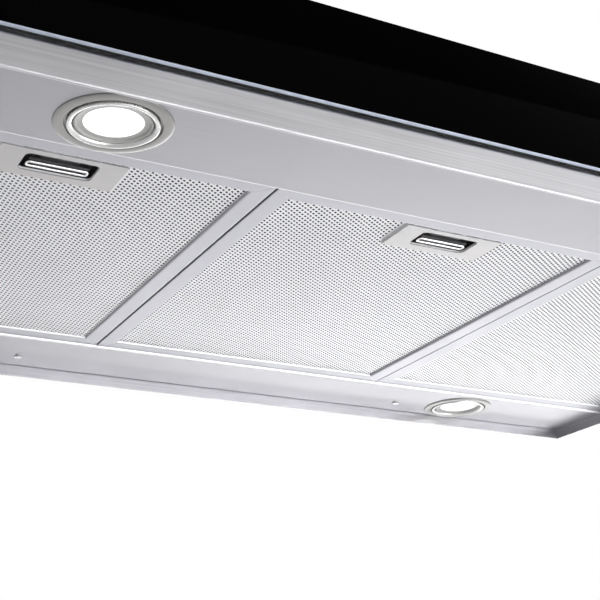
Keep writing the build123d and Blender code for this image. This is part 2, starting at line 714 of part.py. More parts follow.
# ---------------------------------------------------------------- electrics
def electrics():
    """Control box under the top with its board and lid, a run capacitor and the cable gland."""
    x0, x1 = BOX_X
    y0, y1 = BOX_Y
    top = -SHEET
    low = top - BOX_H
    with BuildPart() as box:
        block(x0, x1, y0, y1, low, top)
        block(x0 + BOX_T, x1 - BOX_T, y0 + BOX_T, y1 - BOX_T, low, top - BOX_T, Mode.SUBTRACT)
    save(box, "power_box")

    with BuildPart() as lid:
        block(x0, x1, y0, y1, low - BOX_T, low)
        for wall in (y0 + BOX_T + LIP_GAP, y1 - 2 * BOX_T - LIP_GAP):
            block(x0 + LIP_INSET, x1 - LIP_INSET, wall, wall + BOX_T, low, low + LIP_H)
    save(lid, "power_box_lid")

    inset = CIRCUIT_INSET
    board_top = top - BOX_T - CIRCUIT_DROP
    board_low = board_top - BOARD_T
    with BuildPart() as board:
        block(x0 + inset, x1 - inset, y0 + inset, y1 - inset, board_low, board_top)
        for px, py, size, height in COMPONENTS:
            half = size / 2
            block(px - half, px + half, py - half, py + half, board_low - height, board_top)
        for px in (x0 + POST_INSET, x1 - POST_INSET):
            for py in (y0 + POST_INSET, y1 - POST_INSET):
                half = POST_HALF
                block(px - half, px + half, py - half, py + half, board_top, top - BOX_T)
    save(board, "control_board")

    with BuildPart() as capacitor:
        with BuildSketch(Plane.XZ.offset(-CAPACITOR_Y)):
            with Locations((CAPACITOR_X, top - CAPACITOR_DROP)):
                Circle(CAPACITOR_R)
        extrude(amount=-CAPACITOR_L)
        fillet(capacitor.edges().filter_by(GeomType.CIRCLE), CAPACITOR_ROUND)
        block(CAPACITOR_X - STRAP_HALF, CAPACITOR_X + STRAP_HALF, *STRAP_Y, top - STRAP_H, top)
    save(capacitor, "capacitor")

    with BuildPart() as gland:
        for radius, z0, z1 in GLAND_RINGS:
            with BuildSketch(Plane.XY.offset(z0)):
                with Locations((GLAND_X, GLAND_Y)):
                    Circle(radius)
            extrude(amount=z1 - z0)
        with BuildSketch(Plane.XY.offset(-SHEET - GLAND_NUT_T)):
            with Locations((GLAND_X, GLAND_Y)):
                RegularPolygon(GLAND_NUT_R, 6)
        extrude(amount=GLAND_NUT_T)
        with Locations((GLAND_X, GLAND_Y, 0)):
            Hole(GLAND_BORE_R, depth=GLAND_DEPTH)
    save(gland, "cable_gland")


# ---------------------------------------------------------------- fasteners
def sheet_screws():
    with BuildPart() as screws:
        for places, seat, way in ((COLLAR_SCREWS, SHEET, 1), (REAR_STRIP_SCREWS, STRIP_Z, -1)):
            with BuildSketch(Plane.XY.offset(seat)):
                with Locations(*places):
                    Circle(SCREW_HEAD_R)
            extrude(amount=way * SCREW_HEAD_T)
            with BuildSketch(Plane.XY.offset(seat)):
                with Locations(*places):
                    Circle(SCREW_R)
            extrude(amount=-way * SCREW_L)
    save(screws, "sheet_screws")


canopy_wrapper()
end_panel("left_end_panel", -1)
end_panel("right_end_panel", 1)
back_panel()
lamp_strip("front_lamp_strip", FRONT_Y + SHEET, FRONT_STRIP_END_Y, LAMP_FRONT_Y, [])
lamp_strip("rear_lamp_strip", WALL_Y - SHEET, REAR_STRIP_START_Y, LAMP_REAR_Y, REAR_STRIP_SCREWS)
glass_panel()
glass_tape()
touch_board()
lamp("front_left_lamp", -LAMP_X, LAMP_FRONT_Y)
lamp("front_right_lamp", LAMP_X, LAMP_FRONT_Y)
lamp("rear_left_lamp", -LAMP_X, LAMP_REAR_Y)
lamp("rear_right_lamp", LAMP_X, LAMP_REAR_Y)
for filter_name, filter_x in FILTER_X.items():
    lower_top = FILTER_LOW_Z + RAIL_T + MESH_T
    upper_low = FILTER_TOP_Z - RAIL_WEB - MESH_T
    filter_frame(filter_name, filter_x)
    media_layer(f"{filter_name}_face_mesh", filter_x, FILTER_LOW_Z + RAIL_T, lower_top)
    media_layer(f"{filter_name}_filter_core", filter_x, lower_top, upper_low)
    media_layer(f"{filter_name}_back_mesh", filter_x, upper_low, FILTER_TOP_Z - RAIL_WEB)
    handle_plate(filter_name, filter_x)
    latch(filter_name, filter_x)
blower_housing()
impeller()
motor()
duct_collar()
damper_flap("front", -1)
damper_flap("rear", 1)
electrics()
sheet_screws()
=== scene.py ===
"""Looks for the under cabinet range hood: materials, perforated filters, lamps, glass and studio."""

import json
import math

import bmesh
import bpy
from mathutils import Matrix, Vector, noise


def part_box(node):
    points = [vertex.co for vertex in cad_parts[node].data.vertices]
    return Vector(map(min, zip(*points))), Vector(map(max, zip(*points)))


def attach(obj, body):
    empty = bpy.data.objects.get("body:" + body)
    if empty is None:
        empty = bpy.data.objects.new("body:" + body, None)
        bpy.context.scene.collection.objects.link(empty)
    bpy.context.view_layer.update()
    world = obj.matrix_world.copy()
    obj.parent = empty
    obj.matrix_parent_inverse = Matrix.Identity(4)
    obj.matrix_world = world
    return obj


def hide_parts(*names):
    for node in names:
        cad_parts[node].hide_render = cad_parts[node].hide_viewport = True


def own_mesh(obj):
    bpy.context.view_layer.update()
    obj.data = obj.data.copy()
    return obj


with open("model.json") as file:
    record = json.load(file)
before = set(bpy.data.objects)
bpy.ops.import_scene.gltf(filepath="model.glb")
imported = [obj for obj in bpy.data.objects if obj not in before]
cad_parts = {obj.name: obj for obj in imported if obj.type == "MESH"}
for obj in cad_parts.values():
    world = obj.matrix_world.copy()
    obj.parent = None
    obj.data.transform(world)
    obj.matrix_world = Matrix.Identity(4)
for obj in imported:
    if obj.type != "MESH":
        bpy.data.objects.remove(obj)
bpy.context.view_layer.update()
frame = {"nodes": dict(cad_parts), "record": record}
nodes = frame["nodes"]
MM = 0.001               # metres in a millimetre
SIDES = ("left", "middle", "right")
LAMPS = ("front_left_lamp", "front_right_lamp", "rear_left_lamp", "rear_right_lamp")

# ---------------------------------------------------------------- driving sizes, millimetres unless said
FOLD = 1.2               # shaded radius of the sheets' folds
PAINTED_HIGHLIGHT_BAND = (1.4, 2.4)      # painted highlight along a strip's fold: full to the first distance, gone by the second

STEP_X = 3.30            # from one column of holes to the next
STEP_Y = 4.15            # from hole to hole along a column; the next column is half of it further
MOUTH_ACROSS = 1.15      # half of a slit's width
MOUTH_ALONG = 1.95       # half of its length
MOUTH_SLANT = math.radians(32)   # slits lean from the Y axis toward +X
HOLE_SHARE = 0.68        # hole's size against its mouth
FUNNEL_PAINTED_SHADE = (0.04, 0.2)        # painted shade in a funnel starts this far behind the face, and is full here
RAIL = 14.5              # rails' visible width
UNDER_RAIL = 1.6         # the pattern runs this far under the rails

CORE_CELL = 4.0          # grid of the knitted core
CORE_INSET = 0.8         # mean depth of its waving face behind the CAD face
CORE_WAVE = 0.25
CORE_WAVE_X, CORE_WAVE_Y = 5.0, 6.0      # lengths of one radian of the wave
CORE_JITTER = 0.2
CORE_JITTER_SPAN = 7.0
CORE_BACK_INSET = 0.5    # the same at its back
CORE_BACK_SHARE = 0.5    # the back waves this much as deeply as the face

CUP_FROM = (0.3, 0.6)    # the cup's painted black starts in this span behind the plate's face
CUP_HIGHLIGHT_DEPTH = 1.7          # painted highlight on the cup's walls reaches this deep behind the face
CUP_HIGHLIGHT_FADE = 0.3
PULL_BAR = 0.9           # radius of the pull's bars
PULL_SPACING = 5.6       # between their middles
PULL_BEND = 1.8          # radius of the loop's corners
PULL_STEPS = 6           # points to a corner, after its first
PULL_SIDES = 20          # faces round a bar
PULL_QUARTERS = ((1, 1), (-1, 1), (-1, -1), (1, -1))     # the corners' sides of the middle, in turn
WEB_LIFT = 0.6           # the web starts this many bar radii above the bars' middle

# bezel, from its outer top edge down and inward: (radius, height above the lamp strip)
BEZEL_PROFILE = [
    (30.5, 1.6), (30.5, 0.0), (36.4, 0.0), (36.5, -0.2), (36.3, -0.6), (35.6, -0.9), (34.2, -1.05),
    (30.7, -1.2), (30.1, -1.1), (29.8, -0.8), (29.7, 1.0), (28.3, 1.0), (28.2, -1.2), (27.9, -1.8),
    (27.2, -2.1), (26.2, -2.0), (25.4, -1.6), (24.8, -0.9), (24.2, 0.6), (24.1, 1.6),
]
LIP_FROM, LIP_TO = 11, 18        # spans of the profile that are the polished inner ring, its pale colour partly a painted highlight
BEZEL_SIDES = 96
LENS_R = 24.0
GLOW_R = 18.5            # glowing middle of a lens
LENS_TIP = 0.8           # radius of the flat at a lens's middle
LENS_SIDES = 72
LENS_DISH = [(LENS_R, 0.0), (22.6, 0.0), (22.3, 0.3), (22.0, 1.4)]
LENS_BOWL = [(21.9, 1.5), (GLOW_R, 1.44), (9.0, 1.38), (LENS_TIP, 1.36)]
GLASS_BEVEL = 0.45

# ---------------------------------------------------------------- studio values: metres, watts, degrees
BRIGHT_SIDE = (0.85, 0.52, 0.0)  # direction of the room's bright side
ROOM_DIM = 0.26
ROOM_BRIGHT = 1.4
FRONT_WATTS = 12
FRONT_POOL_WATTS = 2200
FRONT_POOL_ANGLE = 72
REAR_POOL_WATTS = 120
REAR_WATTS = 30
TOP_WATTS = 22
FLOOR_Z = -0.95
FLOOR_HALF = 6.0

# the photograph's viewpoint, worked out from the vanishing points of the hood's own edges
CAMERA_AT = Vector((-0.5065, -0.9568, -0.5330))
CAMERA_RIGHT = Vector((0.879, -0.4756, -0.0318))
CAMERA_AHEAD = Vector((0.4551, 0.8179, 0.3521))
FOCAL_MM = 74.61
SENSOR_MM = 36.0
NEAREST = 0.01

# ---------------------------------------------------------------- values that several materials share
# colour of the painted highlights on the strips' folds and on the rails' walls that face the front
PAINTED_HIGHLIGHT = (0.95, 0.95, 0.96)
USUAL_SPAN = (0.3, 0.7)  # values between which noise mostly stays


def node_box(name):
    low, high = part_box(name)
    return low / MM, high / MM


# ---------------------------------------------------------------- materials
class Shader:
    """One Principled material, with a few short ways to feed its sockets."""

    def __init__(self, name, color, metallic, roughness, **sockets):
        self.material = bpy.data.materials.new(name)
        self.material.use_nodes = True
        self.tree = self.material.node_tree
        self.bsdf = self.tree.nodes["Principled BSDF"]
        self.bsdf.inputs["Base Color"].default_value = (*color, 1.0)
        self.bsdf.inputs["Metallic"].default_value = metallic
        self.bsdf.inputs["Roughness"].default_value = roughness
        for socket, value in sockets.items():
            self.bsdf.inputs[socket.replace("_", " ")].default_value = value
        coordinates = self.tree.nodes.new("ShaderNodeTexCoord").outputs
        self.coord = coordinates["Object"]
        self.facing = coordinates["Normal"]
        self.normal = None

    def feed(self, socket, value):
        """Links a socket to a field, or sets it to a plain value."""
        if isinstance(value, bpy.types.NodeSocket):
            self.tree.links.new(value, socket)
        else:
            socket.default_value = value

    def node(self, kind, **inputs):
        made = self.tree.nodes.new(kind)
        for socket, value in inputs.items():
            self.feed(made.inputs[socket.replace("_", " ")], value)
        return made

    def noise(self, scale, detail=3.0, roughness=0.55, distortion=0.0):
        """Noise in the object's own metres; scale is per metre, one number or one for each axis."""
        stretch = scale if isinstance(scale, tuple) else (scale, scale, scale)
        place = self.node("ShaderNodeMapping", Vector=self.coord, Scale=stretch)
        made = self.node(
            "ShaderNodeTexNoise", Vector=place.outputs["Vector"], Scale=1.0,
            Detail=detail, Roughness=roughness, Distortion=distortion,
        )
        return made.outputs["Fac"]

    def cells(self, scale, feature="F1"):
        place = self.node("ShaderNodeMapping", Vector=self.coord, Scale=(scale, scale, scale))
        made = self.node("ShaderNodeTexVoronoi", Vector=place.outputs["Vector"], Scale=1.0)
        made.feature = feature
        return made.outputs["Distance"]

    def along(self, vector, axis):
        return self.node("ShaderNodeSeparateXYZ", Vector=vector).outputs[axis]

    def math(self, operation, first, second):
        made = self.tree.nodes.new("ShaderNodeMath")
        made.operation = operation
        for socket, value in zip(made.inputs, (first, second)):
            self.feed(socket, value)
        return made.outputs[0]

    def blend(self, field, other, weight):
        """A sum of two fields, with the weight of the second."""
        own_share = self.math("MULTIPLY", field, 1 - weight)
        return self.math("ADD", own_share, self.math("MULTIPLY", other, weight))

    def fit(self, field, low, high, to_low, to_high):
        made = self.node(
            "ShaderNodeMapRange", Value=field, From_Min=low, From_Max=high, To_Min=to_low, To_Max=to_high,
        )
        return made.outputs["Result"]

    def color(self, factor, low, high):
        """Base colour from low to high as the factor goes from 0 to 1; either may be a socket."""
        mix = self.tree.nodes.new("ShaderNodeMix")
        mix.data_type = "RGBA"
        self.feed(mix.inputs["Factor"], factor)
        ends = [socket for socket in mix.inputs if socket.type == "RGBA"]
        self.feed(ends[0], low)
        self.feed(ends[1], high)
        result = next(socket for socket in mix.outputs if socket.type == "RGBA")
        self.tree.links.new(result, self.bsdf.inputs["Base Color"])

    def paint(self, field, low, high):
        """Base colour from low to high as the field goes over its usual span."""
        self.color(self.fit(field, *USUAL_SPAN, 0.0, 1.0), (*low, 1.0), (*high, 1.0))

    def cover(self, factor, color):
        """Lays a colour over the base colour where the factor is 1."""
        under = self.bsdf.inputs["Base Color"].links[0].from_socket
        self.color(factor, under, (*color, 1.0))

    def rough(self, field, low, high):
        self.tree.links.new(self.fit(field, *USUAL_SPAN, low, high), self.bsdf.inputs["Roughness"])

    def soften(self, radius_mm):
        """Shades the sharp folds of sheet metal as rolled ones; the bump that follows carries it on."""
        self.normal = self.node("ShaderNodeBevel", Radius=radius_mm * MM).outputs["Normal"]

    def bump(self, field, depth_mm):
        under = {"Normal": self.normal} if self.normal else {}
        made = self.node("ShaderNodeBump", Height=field, Distance=depth_mm * MM, Strength=1.0, **under)
        self.tree.links.new(made.outputs["Normal"], self.bsdf.inputs["Normal"])


def tint(color, gain):
    return tuple(min(1.0, c * gain) for c in color)


def canopy_steel():
    """Brushed sheet: streaks along X, a slow cloudiness and faint smudges."""
    color = (0.56, 0.555, 0.575)
    made = Shader("canopy_steel", color, 1.0, 0.34, Anisotropic=0.3)
    streaks = made.noise((6.0, 900.0, 900.0), detail=5.0, roughness=0.65)
    clouds = made.noise(7.0, detail=2.0)
    smudges = made.noise(26.0, detail=4.0, roughness=0.7, distortion=0.6)
    made.paint(made.blend(streaks, clouds, 0.35), tint(color, 0.8), tint(color, 1.2))
    made.rough(made.blend(streaks, smudges, 0.5), 0.29, 0.40)
    made.soften(FOLD)
    made.bump(streaks, 0.02)
    return made.material


def strip_steel():
    """Brushed strip with a painted highlight along its folds beside the filters."""
    dark, light = (0.39, 0.386, 0.405), (0.45, 0.444, 0.465)
    made = Shader("strip_steel", (0.42, 0.415, 0.435), 1.0, 0.36)
    streaks = made.noise((20.0, 700.0, 700.0), detail=5.0, roughness=0.65)
    clouds = made.noise(7.0, detail=2.0)
    made.paint(made.blend(streaks, clouds, 0.35), dark, light)
    made.rough(streaks, 0.31, 0.42)
    place = made.along(made.coord, "Y")
    highlight_full_to, highlight_gone_by = PAINTED_HIGHLIGHT_BAND
    front_strip, rear_strip = node_box("front_lamp_strip"), node_box("rear_lamp_strip")
    # painted highlight: a bright band of colour along each fold beside the filters
    for fold in (front_strip[1].y, rear_strip[0].y):
        away = made.math("ABSOLUTE", made.math("SUBTRACT", place, fold * MM), 0.0)
        made.cover(made.fit(away, highlight_full_to * MM, highlight_gone_by * MM, 1.0, 0.0), PAINTED_HIGHLIGHT)
    made.soften(FOLD)
    made.bump(streaks, 0.008)
    return made.material


def rail_aluminium():
    """Satin extruded rail; its walls that face the front get a painted highlight."""
    color = (0.46, 0.46, 0.492)
    made = Shader("rail_aluminium", color, 1.0, 0.36)
    tooth = made.noise(1500.0, detail=4.0, roughness=0.6)
    mottle = made.noise(18.0, detail=3.0)
    made.paint(made.blend(tooth, mottle, 0.5), tint(color, 0.97), tint(color, 1.03))
    facing_y = made.along(made.facing, "Y")
    # painted highlight: walls facing -Y are covered with the highlight colour
    made.cover(made.fit(facing_y, -0.7, -0.3, 1.0, 0.0), PAINTED_HIGHLIGHT)
    made.rough(made.blend(mottle, tooth, 0.5), 0.31, 0.43)
    made.soften(FOLD)
    made.bump(tooth, 0.006)
    return made.material


def satin(name, color, roughness, scale, bump_mm, metallic=1.0, contrast=0.06):
    """Rolled or cast surface: even fine tooth, slow mottle."""
    made = Shader(name, color, metallic, roughness)
    tooth = made.noise(scale, detail=4.0, roughness=0.6)
    mottle = made.noise(18.0, detail=3.0)
    made.paint(made.blend(tooth, mottle, 0.5), tint(color, 1 - contrast), tint(color, 1 + contrast))
    made.rough(made.blend(mottle, tooth, 0.5), roughness - 0.05, roughness + 0.07)
    made.bump(tooth, bump_mm)
    return made.material


def galvanised(name, color, roughness):
    """Zinc coat with its spangle of flat crystals."""
    made = Shader(name, color, 0.9, roughness)
    spangle = made.cells(170.0)
    tooth = made.noise(900.0)
    made.paint(made.blend(spangle, tooth, 0.3), tint(color, 0.82), tint(color, 1.12))
    made.rough(spangle, roughness - 0.06, roughness + 0.1)
    made.bump(tooth, 0.02)
    return made.material


def moulded(name, color, roughness):
    """Moulded plastic with a fine spark-eroded texture and a little dust in the colour."""
    made = Shader(name, color, 0.0, roughness)
    texture = made.noise(1800.0, detail=2.0)
    dust = made.noise(30.0, detail=5.0, roughness=0.7)
    made.paint(dust, tint(color, 0.85), tint(color, 1.3))
    made.rough(dust, roughness - 0.06, roughness + 0.08)
    made.bump(texture, 0.03)
    return made.material


def black_glass():
    color = (0.0004, 0.0004, 0.0005)
    made = Shader("black_glass", color, 0.0, 0.05, Specular_IOR_Level=0.012)
    wipes = made.noise((9.0, 30.0, 30.0), detail=5.0, roughness=0.7, distortion=1.2)
    made.paint(made.noise(5.0), tint(color, 0.8), tint(color, 1.4))
    made.rough(wipes, 0.03, 0.09)
    made.bump(made.noise(16.0, detail=1.0), 0.02)
    return made.material


def glass_edge():
    """Ground edge of the glass, pale against its black face."""
    color = (0.62, 0.68, 0.80)
    made = Shader("glass_edge", color, 0.0, 0.18, Specular_IOR_Level=0.6)
    ground = made.noise((60.0, 2400.0, 2400.0), detail=3.0)
    made.paint(ground, tint(color, 0.92), tint(color, 1.08))
    made.rough(ground, 0.12, 0.26)
    made.bump(ground, 0.02)
    return made.material


def lens_glass(name, color, glow):
    """Frosted glass with a glossy skin; glow is the light of the chips behind it."""
    made = Shader(
        name, color, 0.0, 0.12, Specular_IOR_Level=0.85, Emission_Color=(1.0, 0.99, 0.97, 1.0),
    )
    frost = made.noise(1400.0, detail=3.0)
    chips = made.cells(120.0)
    made.paint(frost, tint(color, 0.92), tint(color, 1.08))
    made.feed(made.bsdf.inputs["Emission Strength"], made.fit(chips, 0.0, 0.8, glow, 0.6 * glow))
    made.rough(frost, 0.09, 0.18)
    made.bump(frost, 0.01)
    return made.material


def circuit_board():
    color = (0.02, 0.13, 0.06)
    made = Shader("solder_mask", color, 0.0, 0.35)
    tracks = made.cells(260.0, "DISTANCE_TO_EDGE")
    made.paint(tracks, tint(color, 2.2), tint(color, 0.8))
    made.rough(tracks, 0.25, 0.45)
    made.bump(tracks, 0.04)
    return made.material


def foam():
    color = (0.02, 0.02, 0.021)
    made = Shader("foam_tape", color, 0.0, 0.9)
    pores = made.cells(2200.0)
    made.paint(pores, tint(color, 0.6), tint(color, 1.8))
    made.bump(pores, 0.15)
    return made.material


def perforated():
    """Pierced aluminium, bright on the filters' faces with a film of grease; painted shade darkens it behind
    the face, in the funnels and over the whole rear sheets.
    """
    color, painted_shade = (0.69, 0.69, 0.705), (0.015, 0.015, 0.015)
    made = Shader("face_strands", color, 1.0, 0.34)
    film = made.noise(14.0, detail=4.0, roughness=0.65)
    tooth = made.noise(2500.0, detail=2.0)
    made.paint(film, tint(color, 0.94), tint(color, 1.05))
    face = node_box("middle_face_mesh")[0].z
    shade_from, shade_by = ((face + depth) * MM for depth in FUNNEL_PAINTED_SHADE)
    # painted shade: near black by depth behind the face
    made.cover(made.fit(made.along(made.coord, "Z"), shade_from, shade_by, 0.0, 1.0), painted_shade)
    made.rough(made.blend(film, tooth, 0.4), 0.28, 0.42)
    made.bump(tooth, 0.01)
    return made.material


def handle_steel():
    """Brushed plate; its cup's walls toward -X and -Y carry a painted highlight near the rim, and the rest
    of the cup is painted black: its dark finish deepened with painted shade.
    """
    warm, cool = (0.50, 0.478, 0.470), (0.47, 0.47, 0.478)
    black, cup_highlight = (0.012, 0.012, 0.013), (0.88, 0.88, 0.89)
    made = Shader("handle_steel", cool, 1.0, 0.3)
    streaks = made.noise((60.0, 1200.0, 1200.0), detail=4.0)
    drift = made.noise((10.0, 45.0, 45.0), detail=2.0)
    made.paint(made.blend(streaks, drift, 0.6), warm, cool)
    height = made.along(made.coord, "Z")
    face = node_box("middle_handle_plate")[0].z
    cup_from, cup_by = ((face + depth) * MM for depth in CUP_FROM)
    highlight_to, highlight_end = (face + CUP_HIGHLIGHT_DEPTH) * MM, (face + CUP_HIGHLIGHT_DEPTH + CUP_HIGHLIGHT_FADE) * MM
    in_cup = made.fit(height, cup_from, cup_by, 0.0, 1.0)
    shallow = made.fit(height, highlight_to, highlight_end, 1.0, 0.0)
    sideways = made.math("MINIMUM", made.along(made.facing, "X"), made.along(made.facing, "Y"))
    wall = made.fit(sideways, -0.8, -0.5, 1.0, 0.0)
    # painted black inside the cup: its dark finish deepened as painted shade
    made.cover(in_cup, black)
    # painted highlight on the walls facing -X and -Y near the cup's rim
    made.cover(made.math("MULTIPLY", in_cup, made.math("MULTIPLY", shallow, wall)), cup_highlight)
    made.feed(made.bsdf.inputs["Metallic"], made.math("SUBTRACT", 1.0, in_cup))
    made.rough(made.blend(streaks, drift, 0.5), 0.26, 0.36)
    made.bump(streaks, 0.006)
    return made.material


def knitted():
    # colour darkened as painted shade, for the shade seen through the holes; the wire pattern is the core's
    # own
    color = (0.20, 0.20, 0.21)
    made = Shader("knitted_core", color, 1.0, 0.5)
    wires = made.cells(620.0, "DISTANCE_TO_EDGE")
    layers = made.noise(60.0, detail=4.0)
    made.paint(made.blend(wires, layers, 0.4), tint(color, 0.6), tint(color, 1.6))
    made.rough(layers, 0.4, 0.62)
    made.bump(wires, 0.3)
    return made.material


LOOKS = {
    "canopy_steel": canopy_steel(),
    "strip_steel": strip_steel(),
    "filter_frame": rail_aluminium(),
    "handle_plate": handle_steel(),
    "filter_mesh": perforated(),
    "filter_core": knitted(),
    "front_glass": black_glass(),
    "glass_edge": glass_edge(),
    "glass_tape": foam(),
    "circuit_board": circuit_board(),
    # the same frosted glass twice: the darker copy on the bowl's outer ring is painted shade
    "lamp_lens": lens_glass("lens_glass", (0.30, 0.30, 0.29), glow=0.1),
    "lens_glow": lens_glass("lens_glow", (0.85, 0.85, 0.83), glow=0.7),
    "pull_web": moulded("pull_web", (0.012, 0.012, 0.013), roughness=0.5),
    "wheel_plastic": moulded("wheel_plastic", (0.035, 0.035, 0.038), roughness=0.45),
    "gland_nylon": moulded("gland_nylon", (0.03, 0.03, 0.032), roughness=0.5),
    "latch_chrome": satin(
        "pull_chrome", (0.86, 0.86, 0.87), roughness=0.07, scale=700.0, bump_mm=0.003, contrast=0.02,
    ),
    "latch_steel": satin("zinc_steel", (0.58, 0.58, 0.60), roughness=0.3, scale=1200.0, bump_mm=0.01),
    "shaft_steel": satin("ground_steel", (0.62, 0.62, 0.64), roughness=0.22, scale=1500.0, bump_mm=0.006),
    "screw_steel": satin("screw_zinc", (0.66, 0.66, 0.67), roughness=0.25, scale=900.0, bump_mm=0.01),
    "damper_sheet": satin("damper_aluminium", (0.66, 0.66, 0.68), roughness=0.34, scale=900.0, bump_mm=0.02),
    "capacitor_can": satin("capacitor_can", (0.70, 0.70, 0.71), roughness=0.25, scale=700.0, bump_mm=0.01),
    "lamp_can": satin("lamp_casting", (0.50, 0.50, 0.51), roughness=0.5, scale=500.0, bump_mm=0.08),
    "lamp_bezel": satin(
        "bezel_aluminium", (0.35, 0.345, 0.335), roughness=0.33, scale=1100.0, bump_mm=0.008, contrast=0.04,
    ),
    # polished inner ring; its pale colour is partly a painted highlight
    "bezel_polish_highlight": satin(
        "bezel_polish_highlight", (0.80, 0.80, 0.79), roughness=0.25, scale=1100.0, bump_mm=0.008, contrast=0.04,
    ),
    "lens_rim": satin(
        "lens_rim", (0.40, 0.40, 0.38), roughness=0.45, scale=1300.0, bump_mm=0.01,
        metallic=0.0, contrast=0.04,
    ),
    "motor_shell": satin(
        "motor_lacquer", (0.07, 0.075, 0.08), roughness=0.4, scale=600.0, bump_mm=0.05, metallic=0.3,
    ),
    "blower_sheet": galvanised("blower_zinc", (0.60, 0.61, 0.63), roughness=0.36),
    "collar_sheet": galvanised("collar_zinc", (0.66, 0.67, 0.69), roughness=0.32),
    "box_sheet": galvanised("box_zinc", (0.62, 0.63, 0.64), roughness=0.38),
}

for part in frame["record"]["subparts"]:
    mesh = nodes[part["node"]].data
    mesh.materials.clear()
    mesh.materials.append(LOOKS[part["material_slot"]])


# ---------------------------------------------------------------- mesh helpers
def piece(name, vertices, faces, slot, body, replaced, extra=()):
    """A Blender piece from vertices in millimetres, dressed, riding and standing for a CAD node.

    extra holds pairs: a look, and the faces that wear it instead of the slot's own.
    """
    mesh = bpy.data.meshes.new(name)
    mesh.from_pydata([Vector(v) * MM for v in vertices], [], faces)
    mesh.materials.append(LOOKS[slot])
    for number, (look, worn_by) in enumerate(extra, start=1):
        mesh.materials.append(LOOKS[look])
        for index in worn_by:
            mesh.polygons[index].material_index = number
    mesh.validate()
    cleaned = bmesh.new()
    cleaned.from_mesh(mesh)
    bmesh.ops.recalc_face_normals(cleaned, faces=cleaned.faces)
    cleaned.to_mesh(mesh)
    cleaned.free()
    mesh.polygons.foreach_set("use_smooth", [True] * len(mesh.polygons))
    made = bpy.data.objects.new(name, mesh)
    bpy.context.scene.collection.objects.link(made)
    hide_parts(replaced)
    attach(made, body)
    return made


def sharpen(obj, degrees):
    """Keeps edges sharper than the angle crisp on a smooth mesh."""
    limit = math.radians(degrees)
    shape = bmesh.new()
    shape.from_mesh(obj.data)
    for edge in shape.edges:
        edge.smooth = len(edge.link_faces) == 2 and edge.calc_face_angle(0.0) < limit
    shape.to_mesh(obj.data)
    shape.free()


def lathe(profile, centre, segments, ring):
    """Vertices and faces of a profile of (radius, height) turned about a vertical axis.

    A ring's profile is a closed loop; any other has flat lids at its two ends.
    """
    cx, cy, cz = centre
    count = len(profile)
    vertices, faces = [], []
    for s in range(segments):
        angle = math.tau * s / segments
        ahead = (s + 1) % segments
        for radius, height in profile:
            vertices.append((cx + radius * math.cos(angle), cy + radius * math.sin(angle), cz + height))
        for p in range(count if ring else count - 1):
            q = (p + 1) % count
            faces.append((s * count + p, ahead * count + p, ahead * count + q, s * count + q))
    if not ring:
        for end in (0, count - 1):
            faces.append(tuple(s * count + end for s in range(segments)))
    return vertices, faces


def open_edges(faces):
    """Directed edges that only one face has."""
    used = set()
    for face in faces:
        used.update(zip(face, face[1:] + face[:1]))
    return [(a, b) for a, b in used if (b, a) not in used]


def closed_sheet(face_vertices, faces, back):
    """The face, its copy at the back, and walls along every open edge."""
    count = len(face_vertices)
    vertices = list(face_vertices) + [back(v) for v in face_vertices]
    closed = list(faces)
    closed += [tuple(count + i for i in reversed(face)) for face in faces]
    closed += [(b, a, a + count, b + count) for a, b in open_edges(faces)]
    return vertices, closed


class Sheet:
    """Vertices and faces that share a vertex wherever their points meet."""

    def __init__(self):
        self.vertices = []
        self.faces = []
        self.index = {}

    def at(self, x, y, z):
        key = (round(x, 3), round(y, 3), round(z, 3))
        if key not in self.index:
            self.index[key] = len(self.vertices)
            self.vertices.append((x, y, z))
        return self.index[key]

    def face(self, *points):
        self.faces.append(tuple(self.at(*p) for p in points))


# ---------------------------------------------------------------- grease filters
ACROSS = (MOUTH_ACROSS * math.cos(MOUTH_SLANT), -MOUTH_ACROSS * math.sin(MOUTH_SLANT))
ALONG = (MOUTH_ALONG * math.sin(MOUTH_SLANT), MOUTH_ALONG * math.cos(MOUTH_SLANT))
MOUTH = (ACROSS, ALONG, (-ACROSS[0], -ACROSS[1]), (-ALONG[0], -ALONG[1]))


def six_to_four(sheet, outer, inner, turned=False):
    """Faces between a cell's six corners and an opening's four."""
    ring = [
        (outer[0], outer[1], inner[1], inner[0]),
        (outer[1], outer[2], inner[1]),
        (outer[2], outer[3], inner[2], inner[1]),
        (outer[3], outer[4], inner[3], inner[2]),
        (outer[4], outer[5], inner[3]),
        (outer[5], outer[0], inner[0], inner[3]),
    ]
    for points in ring:
        sheet.face(*(reversed(points) if turned else points))


